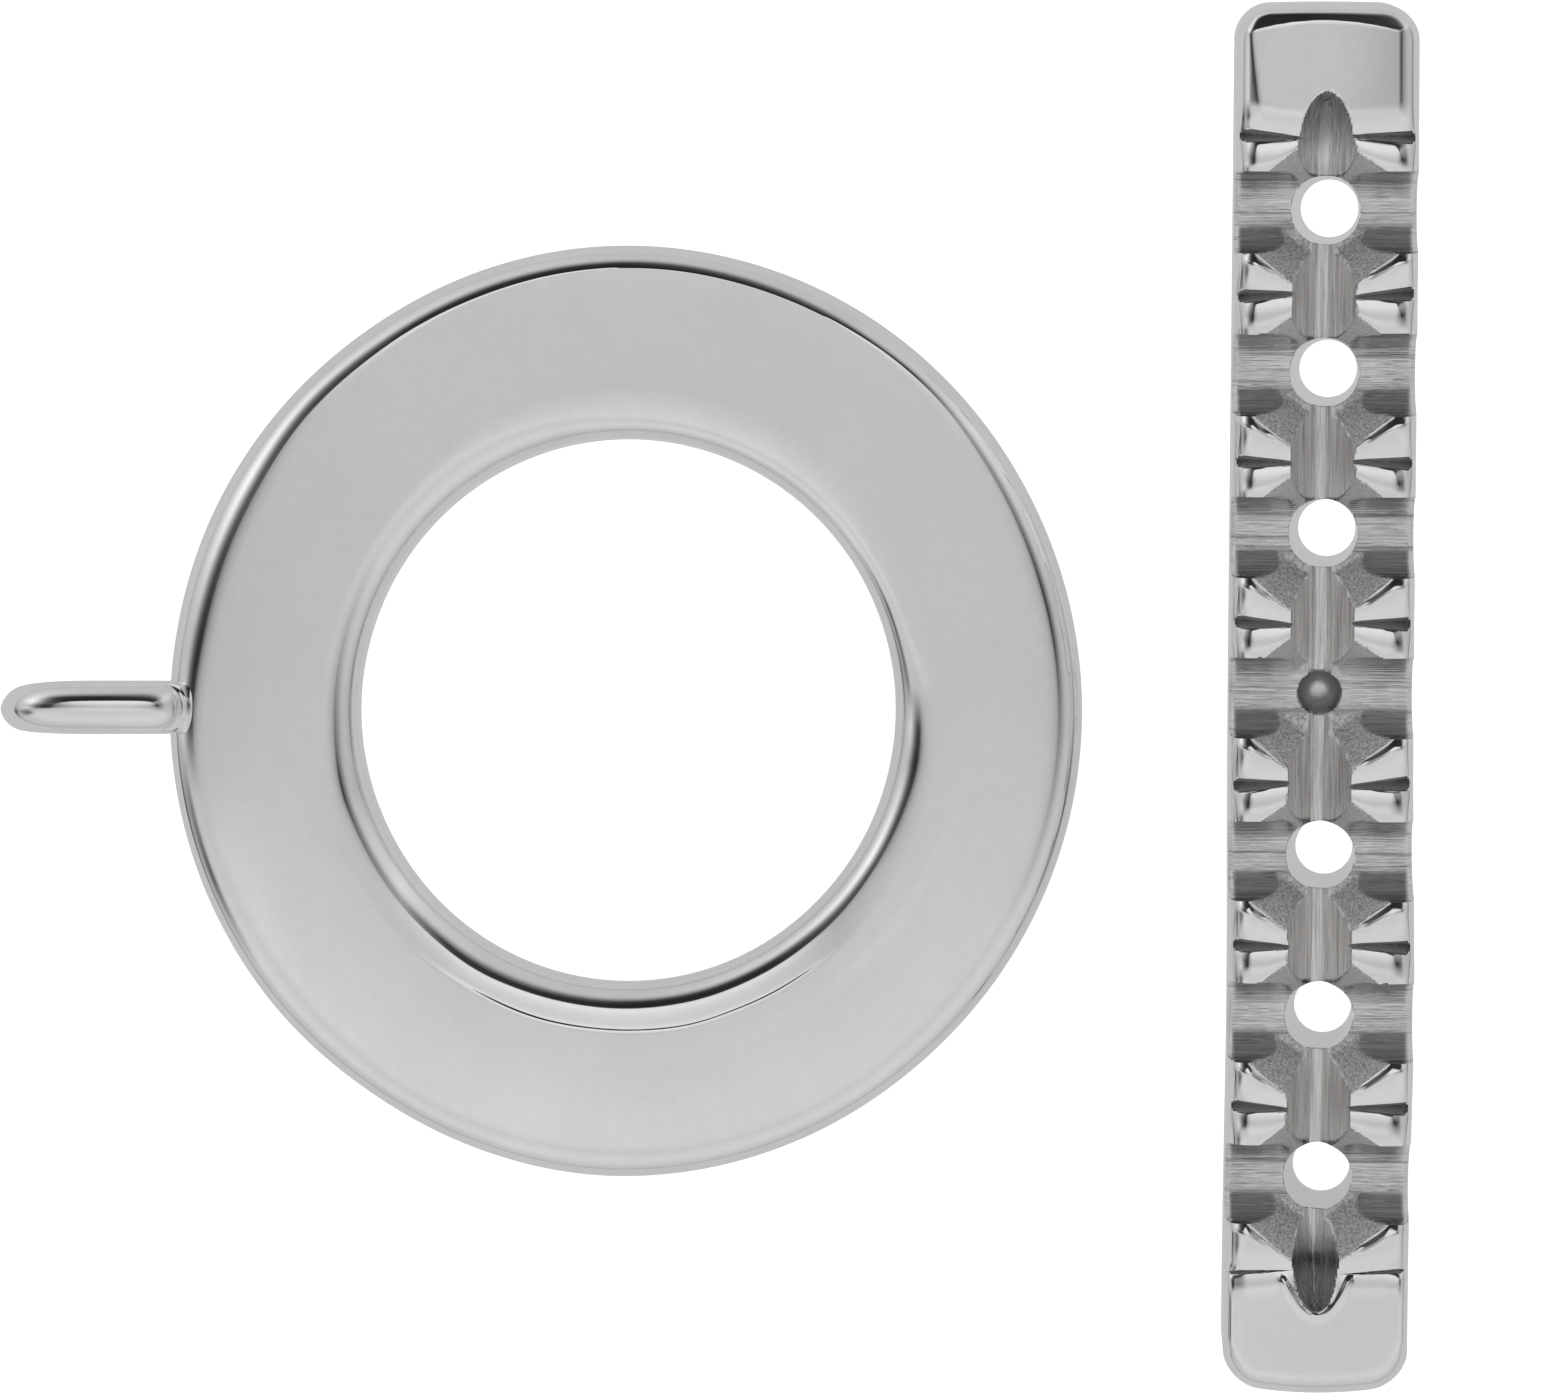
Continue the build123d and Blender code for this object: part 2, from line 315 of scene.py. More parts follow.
loop, quads = wire_loop(EYE_MIDDLE, EYE_OUTER, EYE_HOLE, EYE_WIDE, "XZ", powers=EYE_SQUARE)
loop[..., 2] *= EYE_LOW  # so that the squarer loop stays above the table
far = np.clip((EYE_MIDDLE[0] + FAR_FROM - loop[..., 0]) / FAR_LONG, 0, 1)
off = loop[..., 1] - EYE_MIDDLE[1]
loop[..., 1] = EYE_MIDDLE[1] + off * (1 - EYE_FILED * far**3) - EYE_OFF_LINE * far**3 * (off > 0)
loop[..., 0] -= EYE_LONGER * far
ring_eye = mesh_piece("ring_eye", loop.reshape(-1, 3), quads)
lap = np.linspace(0, math.tau, NECK_SIDES, endpoint=False)[None, :]
flare = np.array(NECK)
neck = np.zeros((len(flare), NECK_SIDES, 3))
neck[..., 0] = -RING_HALF_X + flare[:, :1]
neck[..., 1] = EYE_MIDDLE[1] + flare[:, 1:] * np.cos(lap)
neck[..., 2] = NECK_HIGH * flare[:, 1:] * np.sin(lap)
solder = mesh_piece("solder", neck.reshape(-1, 3), capped_tube(len(flare), NECK_SIDES))
boolean(ring, ring_eye, "UNION")
boolean(ring, solder, "UNION")
ring.data.set_sharp_from_angle(angle=math.radians(RING_SHARP))
ring_rest = (
    Matrix.Translation(Vector(RING_MIDDLE) * MM)
    @ Matrix.Rotation(math.radians(RING_LEAN), 4, "Y")
)
lay_down(ring, ring_rest)


# The ring's finish, which the bar shares: silver buffed bright on every outer face. On the bar it is
# duller and greyer where wheels and burs have cut the seats, with fine lines along each tool's path.
# On the bar, shade is also painted darker into the channel walls, the pit, the groove's end arches and
# the notches' lower halves, and white glints are painted on the burred ridges beside the seats.
BUFFED_SILVER, CLOUDED_SILVER = (0.965, 0.957, 0.957, 1), (0.885, 0.875, 0.88, 1)
CUT_SILVER, SEAT_SILVER = (0.85, 0.84, 0.83, 1), (0.82, 0.81, 0.80, 1)
TORN_SILVER, LINED_SILVER = (0.43, 0.425, 0.42, 1), (0.42, 0.415, 0.41, 1)
STREAKED_SILVER, PAINTED_SHADE_SILVER = (0.48, 0.47, 0.46, 1), (0.34, 0.335, 0.33, 1)
# Painted glints on the burred ridges: their white, and the threshold that sets how sparse they are.
GLINT_WHITE, GLINT_AMOUNT = (0.97, 0.965, 0.96, 1), 0.41
BUFFED_ROUGH, CUT_ROUGHER, BUR_ROUGHER, HIGH_ROUGHER, HAZE_ROUGHER = 0.035, 0.16, 0.16, 0.12, 0.03
HIGH_TORN, LINE_DEPTH, HAIR_DEPTH = 0.35, 1.6, 0.05
BUMP_HIGH = 0.000020


def new_group(name, inputs, outputs):
    """An empty shader group with its sockets, and the nodes at its two ends."""
    group = bpy.data.node_groups.new(name, "ShaderNodeTree")
    for label, kind in inputs:
        group.interface.new_socket(name=label, in_out="INPUT", socket_type=kind)
    for label, kind in outputs:
        group.interface.new_socket(name=label, in_out="OUTPUT", socket_type=kind)
    return group, group.nodes.new("NodeGroupInput"), group.nodes.new("NodeGroupOutput")


def add_node(tree, kind, **settings):
    """A node whose settings are its sockets' values or its own properties."""
    node = tree.nodes.new(kind)
    for key, value in settings.items():
        if key in node.inputs:
            node.inputs[key].default_value = value
        else:
            setattr(node, key, value)
    return node


def number(tree, operation, first, second=None, third=None):
    """A sum on plain numbers or on what other nodes put out."""
    node = tree.nodes.new("ShaderNodeMath")
    node.operation = operation
    for slot_index, value in enumerate((first, second, third)):
        if value is None:
            continue
        if isinstance(value, (int, float)):
            node.inputs[slot_index].default_value = value
        else:
            tree.links.new(value, node.inputs[slot_index])
    return node.outputs[0]


def stretched(tree, place, scale):
    """A place scaled by its own amount along each axis."""
    node = add_node(tree, "ShaderNodeVectorMath", operation="MULTIPLY")
    tree.links.new(place, node.inputs[0])
    node.inputs[1].default_value = scale
    return node.outputs[0]


def noise(tree, place, scale, detail=3.0, rough=0.6):
    """Uneven grain, drawn out along the axis whose scale is least."""
    node = add_node(tree, "ShaderNodeTexNoise", Scale=1.0, Detail=detail, Roughness=rough)
    tree.links.new(stretched(tree, place, scale), node.inputs["Vector"])
    return node.outputs["Fac"]


def between(tree, value, low, high):
    """0 below low, 1 above high, straight between."""
    node = add_node(tree, "ShaderNodeMapRange")
    node.inputs["From Min"].default_value = low
    node.inputs["From Max"].default_value = high
    tree.links.new(value, node.inputs["Value"])
    return node.outputs[0]


# Buffing leaves a faint clouding and hair scratches in no one direction.
buffing, ends_in, ends_out = new_group(
    "buffing", [("Place", "NodeSocketVector")], [("Haze", "NodeSocketFloat"), ("Height", "NodeSocketFloat")]
)
spot = ends_in.outputs["Place"]
cloud = between(buffing, noise(buffing, spot, (520, 380, 500), 5.0, 0.62), 0.30, 0.70)
fleck = between(buffing, noise(buffing, spot, (7000, 5000, 6000), 3.0, 0.7), 0.35, 0.75)
haze = number(buffing, "MULTIPLY_ADD", fleck, 0.35, number(buffing, "MULTIPLY", cloud, 0.65))
buffing.links.new(haze, ends_out.inputs["Haze"])
slow = noise(buffing, spot, (1100, 1100, 1100), 2.0, 0.5)
fast = noise(buffing, spot, (8000, 8000, 8000), 2.0, 0.5)
hair = number(buffing, "MULTIPLY_ADD", fast, 0.10, slow)
buffing.links.new(hair, ends_out.inputs["Height"])

# Wheels leave lines along their path, burs a torn grain.
tooling, ends_in, ends_out = new_group(
    "tooling",
    [("Place", "NodeSocketVector")],
    [(label, "NodeSocketFloat") for label in ("Along", "Streak", "Across", "Lines", "Grain", "Torn", "Bits")],
)
spot = ends_in.outputs["Place"]
along = noise(tooling, spot, (26000, 700, 6000), 3.0)
tooling.links.new(along, ends_out.inputs["Along"])
tooling.links.new(between(tooling, along, 0.40, 0.75), ends_out.inputs["Streak"])
across = noise(tooling, spot, (240, 13000, 1500), 4.0, 0.75)
tooling.links.new(across, ends_out.inputs["Across"])
tooling.links.new(between(tooling, across, 0.53, 0.68), ends_out.inputs["Lines"])
grain = noise(tooling, spot, (27000, 27000, 27000), 3.0, 0.7)
tooling.links.new(grain, ends_out.inputs["Grain"])
tooling.links.new(between(tooling, grain, 0.42, 0.62), ends_out.inputs["Torn"])
tooling.links.new(noise(tooling, spot, (11000, 8000, 9000), 2.0, 0.5), ends_out.inputs["Bits"])


def mark_of(tree, name):
    """A mark that a tool left on the metal, 0 where there is none."""
    return add_node(tree, "ShaderNodeAttribute", attribute_name=name).outputs["Fac"]


silver = bpy.data.materials.new("polished_silver")
silver.use_nodes = True
tree = silver.node_tree
tree.nodes.clear()
output = add_node(tree, "ShaderNodeOutputMaterial")
shader = add_node(tree, "ShaderNodeBsdfPrincipled")
tree.links.new(shader.outputs[0], output.inputs["Surface"])
place = add_node(tree, "ShaderNodeAttribute", attribute_name="flat_place").outputs["Vector"]
buffed = add_node(tree, "ShaderNodeGroup", node_tree=buffing)
tooled = add_node(tree, "ShaderNodeGroup", node_tree=tooling)
tree.links.new(place, buffed.inputs["Place"])
tree.links.new(place, tooled.inputs["Place"])
cut, burr_glint = mark_of(tree, "cut"), mark_of(tree, "burr_glint")
groove_cut, channel_cut = mark_of(tree, "groove_cut"), mark_of(tree, "channel_cut")
seat_cut, notch_cut = mark_of(tree, "seat_cut"), mark_of(tree, "notch_cut")
painted_shade, seat_low = mark_of(tree, "painted_shade"), mark_of(tree, "seat_low")


def colour_over(share, below, colour):
    """A colour laid over another by a share between 0 and 1."""
    node = add_node(tree, "ShaderNodeMix", data_type="RGBA")
    tree.links.new(share, node.inputs[0])
    if isinstance(below, tuple):
        node.inputs[6].default_value = below
    else:
        tree.links.new(below, node.inputs[6])
    node.inputs[7].default_value = colour
    return node.outputs[2]


rough_cut = number(tree, "MAXIMUM", seat_cut, notch_cut)
tone = colour_over(buffed.outputs["Haze"], BUFFED_SILVER, CLOUDED_SILVER)
tone = colour_over(cut, tone, CUT_SILVER)
tone = colour_over(seat_low, tone, SEAT_SILVER)
# Painted shade: darkens the bar's channel walls, the pit's wall, the groove's end arches and the notches'
# lower halves.
tone = colour_over(painted_shade, tone, PAINTED_SHADE_SILVER)
seat_high = number(tree, "SUBTRACT", seat_cut, seat_low)
torn = number(tree, "MULTIPLY_ADD", seat_high, HIGH_TORN, seat_low)
torn = number(tree, "MULTIPLY", torn, tooled.outputs["Torn"])
tone = colour_over(torn, tone, TORN_SILVER)
lines = number(tree, "MULTIPLY", channel_cut, tooled.outputs["Lines"])
tone = colour_over(lines, tone, LINED_SILVER)
streak = number(tree, "MULTIPLY", groove_cut, tooled.outputs["Streak"])
tone = colour_over(streak, tone, STREAKED_SILVER)
# Painted glints: white, non-metal specks where burrs stand on the ridges, bright under any light.
glint_bits = number(tree, "MULTIPLY", burr_glint, tooled.outputs["Bits"])
painted_glint = number(tree, "GREATER_THAN", glint_bits, GLINT_AMOUNT)
tone = colour_over(painted_glint, tone, GLINT_WHITE)
tree.links.new(number(tree, "SUBTRACT", 1.0, painted_glint), shader.inputs["Metallic"])
tree.links.new(tone, shader.inputs["Base Color"])

rough = number(tree, "MULTIPLY_ADD", cut, CUT_ROUGHER, BUFFED_ROUGH)
rough = number(tree, "MULTIPLY_ADD", rough_cut, BUR_ROUGHER, rough)
rough = number(tree, "MULTIPLY_ADD", seat_high, HIGH_ROUGHER, rough)
rough = number(tree, "MULTIPLY_ADD", buffed.outputs["Haze"], HAZE_ROUGHER, rough)
tree.links.new(rough, shader.inputs["Roughness"])

height = number(tree, "MULTIPLY", groove_cut, tooled.outputs["Along"])
lined = number(tree, "MULTIPLY", channel_cut, LINE_DEPTH)
height = number(tree, "MULTIPLY_ADD", lined, tooled.outputs["Across"], height)
height = number(tree, "MULTIPLY_ADD", rough_cut, tooled.outputs["Grain"], height)
height = number(tree, "MULTIPLY_ADD", buffed.outputs["Height"], HAIR_DEPTH, height)
bump = add_node(tree, "ShaderNodeBump", Strength=1.0, Distance=BUMP_HIGH)
tree.links.new(height, bump.inputs["Height"])
tree.links.new(bump.outputs[0], shader.inputs["Normal"])

ring.data.materials.clear()
ring.data.materials.append(silver)
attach(ring, "root")
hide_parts("toggle_ring")


# The bar: one block of silver with softened ends, cut by wheels and burs into seven open stone
# seats. A groove runs along it, a round channel crosses it at each seat, and saw notches part the
# prongs. The cuts were made by eye. High is the end at +Y, low the end at -Y and left the side at -X.
BAR_WIDE, BAR_LONG, BAR_THICK = 2.34, 18.08, 1.75
BAR_CORNER, BAR_TOP_ROUND, BAR_LOW_ROUND = 0.46, 0.36, 0.15
FAR_OFF = 9.0
SOFT_CORNER = 0.012
BAR_LEAN, BAR_TURN = 6.9881, -0.25
BAR_MIDDLE = (8.038, 0.097, 1.08269)
SEAT_ROWS = (-6.247, -4.121, -2.007, 0.115, 2.194, 4.278, 6.363)
NOTCH_ROWS = (-7.40, -5.24, -3.118, -1.008, 1.083, 3.161, 5.306, 7.33)
MIDDLE_SEAT = 3
SEAT_REACH, SEAT_FOOT, SEAT_SLOPE, SEAT_SHIFT = 0.932, 0.464, 1.4, 0.07
SEAT_FACE = (0.595, 0.803)
CHANNEL_HALF, CHANNEL_DEEP, CHANNEL_POWER = 0.52, 0.70, 2.3
GROOVE_HALF, GROOVE_FLOOR, GROOVE_DEEP = 0.42, 0.065, 0.75
GROOVE_END, GROOVE_RUN = 7.925, 0.60
NOTCH_HALF, NOTCH_DEEP, NOTCH_INNER = 0.125, 0.44, 0.15
NOTCH_SIZE = (0.45, 0.95, 1.0, 1.05, 1.0, 0.95, 1.0, 1.0)
PIT_ROUND = 0.275


def round_drop(inset, wide, fall, power=2.4):
    """How far a broken edge has sunk, by the distance in from that edge."""
    short = np.clip(1 - inset / wide, 0, 1)
    return fall * (1 - np.maximum(1 - short**power, 0) ** (1 / power))


def inside_outline(x, y):
    """Distance in from the bar's rounded outline, seen from above."""
    past_x = np.abs(x) - (BAR_WIDE / 2 - BAR_CORNER)
    past_y = np.abs(y) - (BAR_LONG / 2 - BAR_CORNER)
    outside = np.hypot(np.maximum(past_x, 0), np.maximum(past_y, 0))
    return BAR_CORNER - outside - np.minimum(np.maximum(past_x, past_y), 0)


def eased(value):
    """Zero below zero and straight above it, with a very short bend between."""
    value = np.maximum(value, 0)
    return value**2 / (value + SOFT_CORNER)


def lower_of(one, other, blend):
    """The lower of two heights, with the corner where they meet rounded off."""
    near = np.clip(0.5 + 0.5 * (other - one) / blend, 0, 1)
    return other * (1 - near) + one * near - blend * near * (1 - near)


def uneven(place, seed, longest, finest, count=7):
    """The uneven bite of a wheel, along one line."""
    rng = np.random.default_rng(seed)
    bite = np.zeros_like(place)
    for length in np.geomspace(longest, finest, count):
        bite += np.sqrt(length / longest) * np.sin(place * math.tau / length + rng.uniform(0, math.tau))
    return bite / count**0.5


# The filed edges of the block's top, which change on the plain tabs past the last seats.
TAB_START = (7.3, 7.5)
FACET_LINE, TAB_SLANT, SLANT_FROM, TAB_NARROWER = 0.27, 0.13, 8.1, 0.03
LEFT_FACET, LEFT_HIGH_LESS, LEFT_LOW_LESS = 0.30, 0.04, 0.17
RIGHT_FACET, RIGHT_HIGH_MORE, RIGHT_LOW_LESS = 0.16, 0.05, 0.13
END_FACET = {1: 0.20, -1: 0.08}
HIGH_END_LINE, HIGH_END_CURVE, LOW_END_LINE = 0.240, 0.12, 0.27
LEFT_EDGE, RIGHT_EDGE, HIGH_EDGE, LOW_EDGE, EDGE_FALL = 0.20, 0.16, 0.14, 0.22, 0.25
LEFT_EDGE_LESS, RIGHT_EDGE_LESS = 0.09, 0.04
LOW_END_SPAN, HIGH_END_SPAN, MITRE = (8.3, 8.8), (8.2, 8.6), 0.15
TOP_CROWN, TOP_WAVE = 0.010, 0.003
END_FALL, END_FALL_BEND = {1: 0.105, -1: 0.0}, 0.12
HIGH_TAB_CURVE, HIGH_TAB_CREST = 0.03, -0.45


def block_top(x, y):
    """Height of the bar's buffed top before the seats were cut, with its filed edges."""
    side_in, end_in = BAR_WIDE / 2 - np.abs(x), BAR_LONG / 2 - np.abs(y)
    high_tab, low_tab = soft_step(y, *TAB_START), soft_step(-y, *TAB_START)
    side_edge = FACET_LINE + high_tab * np.where(x < 0, TAB_SLANT * (SLANT_FROM - y), -TAB_NARROWER)
    side_slope = np.where(
        x < 0,
        LEFT_FACET - LEFT_HIGH_LESS * high_tab - LEFT_LOW_LESS * low_tab,
        RIGHT_FACET + RIGHT_HIGH_MORE * high_tab - RIGHT_LOW_LESS * low_tab,
    )
    side_facet = side_slope * eased(side_edge - side_in)
    end_edge = np.where(y > 0, HIGH_END_LINE + HIGH_END_CURVE * x**2, LOW_END_LINE)
    end_facet = np.where(y > 0, END_FACET[1], END_FACET[-1]) * eased(end_edge - end_in)
    low_end = soft_step(-y, *LOW_END_SPAN)
    high_end = soft_step(y, *HIGH_END_SPAN) * soft_step(side_in - end_in, -MITRE, MITRE)
    wide = np.where(x < 0, LEFT_EDGE - LEFT_EDGE_LESS * low_tab, RIGHT_EDGE - RIGHT_EDGE_LESS * low_tab)
    wide = wide * (1 - high_end) + HIGH_EDGE * high_end + LOW_EDGE * low_end
    rounded = round_drop(inside_outline(x, y), wide, EDGE_FALL, 2.2)
    top = BAR_THICK - rounded - np.maximum(side_facet, end_facet)
    top = top - TOP_CROWN * (x / (BAR_WIDE / 2)) ** 2 - TOP_WAVE * np.sin(y * 1.7 + 0.6)
    past = np.maximum(np.abs(y) - TAB_START[1], 0)
    past = past**2 / (past + END_FALL_BEND)
    top = top - np.where(y > 0, END_FALL[1], END_FALL[-1]) * past
    return top - HIGH_TAB_CURVE * (y > NOTCH_ROWS[-1]) * (x - HIGH_TAB_CREST) ** 2


# The channels' and seats' small faults: how far a wheel wandered, and how far the buffed edge beside a
# cut has fallen away on its low and its high side; and where shade is painted on a channel's walls.
CHANNEL_WANDER, WHEEL_BITE, BED_RISE = 0.010, (2.0, 0.25), 3
NEAR_CHANNEL, LOW_SIDE_REACH = 1.25, 2.2
LOW_WALL_DARK, HIGH_WALL_DARK, HIGH_WALL_SHARE = (0.19, 0.24), (0.12, 0.22), 0.15
SEAT_RIPPLE, SEAT_BLEND = 0.010, 0.14
LOW_SIDE_FALL, HIGH_SIDE_FALL = 0.44, 0.07
FALL_FROM, LEFT_FALL_TO, RIGHT_FALL_TO = 0.42, 0.80, 0.60


def seats_and_channels(x, y):
    """Heights of the channels and the seats, how clear a place is of them, how their walls lie, and the shade
    painted on the channel walls.
    """
    channel, seat = np.full_like(x, FAR_OFF), np.full_like(x, FAR_OFF)
    clear, steep = np.full_like(x, FAR_OFF), np.zeros_like(x)
    painted_shade, low_side = np.zeros_like(x), np.zeros_like(x)
    for i, row in enumerate(SEAT_ROWS):
        wander = CHANNEL_WANDER * uneven(x, 70 + i, *WHEEL_BITE)
        away = np.abs(y - row + wander) / CHANNEL_HALF
        bowl = np.maximum(1 - np.minimum(away, 1) ** CHANNEL_POWER, 0) ** (1 / CHANNEL_POWER)
        bed = np.where(away < 1, BAR_THICK - CHANNEL_DEEP * bowl, BAR_THICK + BED_RISE * (away - 1))
        channel = np.minimum(channel, bed)
        below = (row - y - wander) * (away < NEAR_CHANNEL)
        # Painted shade on the channel's walls, strongest on the low wall and faint on the high one.
        darker = soft_step(below, *LOW_WALL_DARK) + HIGH_WALL_SHARE * soft_step(-below, *HIGH_WALL_DARK)
        painted_shade = np.maximum(painted_shade, darker)
        low_side = np.maximum(low_side, (y < row) * (away < LOW_SIDE_REACH))
        reach = SEAT_FACE[0] * np.abs(x) + SEAT_FACE[1] * np.abs(y - row + SEAT_SHIFT)
        reach = reach + SEAT_RIPPLE * np.sin(6 * x + 2 * i)
        seat = np.minimum(seat, BAR_THICK - SEAT_SLOPE * (SEAT_REACH - np.maximum(reach, SEAT_FOOT)))
        nearest = lower_of((away - 1) * CHANNEL_HALF, reach - SEAT_REACH, SEAT_BLEND)
        fall_to = np.where(x < 0, LEFT_FALL_TO, RIGHT_FALL_TO)
        low_fall = LOW_SIDE_FALL * soft_step(np.abs(x), FALL_FROM, fall_to)
        full = np.where(y < row, low_fall, HIGH_SIDE_FALL)
        steep = np.where(nearest < clear, full, steep)
        clear = np.minimum(clear, nearest)
    return channel, seat, clear, steep, painted_shade, low_side


NOTCH_ASKEW, ASKEW_ABOUT, ASKEW_SPAN = 0.06, 0.75, (0.1, 0.35)
NOTCH_STOP, NOTCH_RUN_OUT = 0.10, 0.08
LOW_HALF_FROM, LOW_HALF_SOFT, LOW_HALF_END = 0.02, 0.03, -0.2


def notch_lean(i, x):
    """How far a notch has moved along the bar, since each was sawn a little askew."""
    askew = NOTCH_ASKEW * np.sin(i * 2.1 + 1.3 * np.sign(x))
    return askew * (np.abs(x) - ASKEW_ABOUT) * soft_step(np.abs(x), *ASKEW_SPAN)


def saw_notches(x, y):
    """Height of the notches, how clear a place is of them, and their lower halves."""
    notch, clear_notch = np.full_like(x, FAR_OFF), np.full_like(x, FAR_OFF)
    across = np.clip((np.abs(x) - GROOVE_HALF) / (BAR_WIDE / 2 - GROOVE_HALF), -0.5, 1.2)
    deep = NOTCH_INNER + (NOTCH_DEEP - NOTCH_INNER) * across
    side_in = BAR_WIDE / 2 - np.abs(x)
    deep = deep * (1 - soft_step(NOTCH_STOP - side_in, 0, NOTCH_RUN_OUT))
    low_half = np.zeros_like(x)
    for i, row in enumerate(NOTCH_ROWS):
        off = y - row - notch_lean(i, x)
        size = NOTCH_SIZE[i] * deep
        notch = np.minimum(notch, BAR_THICK - size + np.abs(off) * NOTCH_DEEP / NOTCH_HALF)
        clear_notch = np.minimum(clear_notch, np.abs(off) - NOTCH_HALF * size / NOTCH_DEEP)
        low_part = soft_step(LOW_HALF_FROM - off, 0, LOW_HALF_SOFT) * (off > LOW_HALF_END)
        low_half = np.maximum(low_half, low_part)
    return notch, clear_notch, low_half


# The groove starts in an arch at each end, painted dark there as shade, and at the low end a lip is pushed up
# round it.
LOW_RUN = (0.55, 1.25)
LOW_TIP, HIGH_TIP, TIP_SPREAD = 0.015, 0.06, 0.55
GROOVE_SLOPE, GROOVE_BEND, GROOVE_BLEND = 0.72, 4.1, 0.60
LOW_PINCH, HIGH_PINCH, PINCH_SPAN = 0.17, 0.06, (6.4, 7.4)
GROOVE_SWAY, GROOVE_END_WAVE = 0.012, 0.008
ARCH_LEAN, ARCH_SPAN = 0.6, (0.42, 0.92)
LIP_ROUND_SQUARED, LIP_OUT, LIP_WIDE, LIP_SPAN = 0.3025, 0.055, 0.038, (7.40, 7.55)


def long_groove(x, y):
    """Height of the groove, the arch at each of its ends where shade is painted, and the lip pushed up round
    one.
    """
    inward_all = GROOVE_END + GROOVE_END_WAVE * np.sin(9 * x) - np.abs(y)
    inward = np.maximum(inward_all, 0)
    run = np.sin(np.minimum(inward / GROOVE_RUN, 1) * math.pi / 2)
    run = np.where(y < 0, soft_step(inward, *LOW_RUN), run)
    tip = np.where(y < 0, LOW_TIP, HIGH_TIP) * (1 - run)

    def groove_rise(aside):
        beside = np.maximum(np.hypot(aside, tip) - tip - GROOVE_FLOOR * run, 0)
        return beside * (GROOVE_SLOPE + GROOVE_BEND * beside)

    floor_deep = lower_of(groove_rise(TIP_SPREAD * np.sqrt(inward)), GROOVE_DEEP + 0 * x, GROOVE_BLEND)
    floor_deep = np.maximum(floor_deep, 0)
    pinch = 1 + np.where(y < 0, LOW_PINCH, HIGH_PINCH) * soft_step(np.abs(y), *PINCH_SPAN)
    groove = BAR_THICK - floor_deep + groove_rise(pinch * (x - GROOVE_SWAY * np.sin(y * 1.1)))
    groove = np.where(inward > 0, groove, BAR_THICK + 0.2)
    arch = (1 - soft_step(inward - ARCH_LEAN * np.abs(x), *ARCH_SPAN)) * (inward > 0)
    lip_off = (x**2 / LIP_ROUND_SQUARED - inward_all) / np.sqrt(1 + (6.6 * x) ** 2) - LIP_OUT
    lip = np.exp(-((lip_off / LIP_WIDE) ** 2)) * soft_step(-y, *LIP_SPAN)
    return groove, arch, lip


# Where cuts meet: how far the buffed edges fall towards them, where a cut's own mark starts and ends,
# where white glints are painted on the burred ridges, and how dark the shade painted into each part of a cut
# is.
NOTCH_FALL, NOTCH_FALL_REACH = 0.40, 0.34
SEAT_FALL_REACH, SEAT_FALL_BEND, LIP_HIGH = 0.09, 0.035, 0.022
CHANNEL_EDGE = (0.08, 0.09, 2.0)
MARK_SPAN, NOTCH_MARK_SPAN, SEAT_MARGIN = (-0.004, 0.02), (-0.004, 0.03), 0.02
BURR_WIDE, LEFT_BURR, HIGH_BURR = 0.06, 0.8, 0.35
PIT_BELOW, PIT_RIM, PIT_DARK_FROM = 0.05, 0.015, (0.08, 0.14)
PIT_DARK, NOTCH_DARK, LOW_ARCH_DARK, HIGH_ARCH_DARK, ARCH_SIDE_LESS = 0.75, 0.22, 0.95, 0.70, 0.40


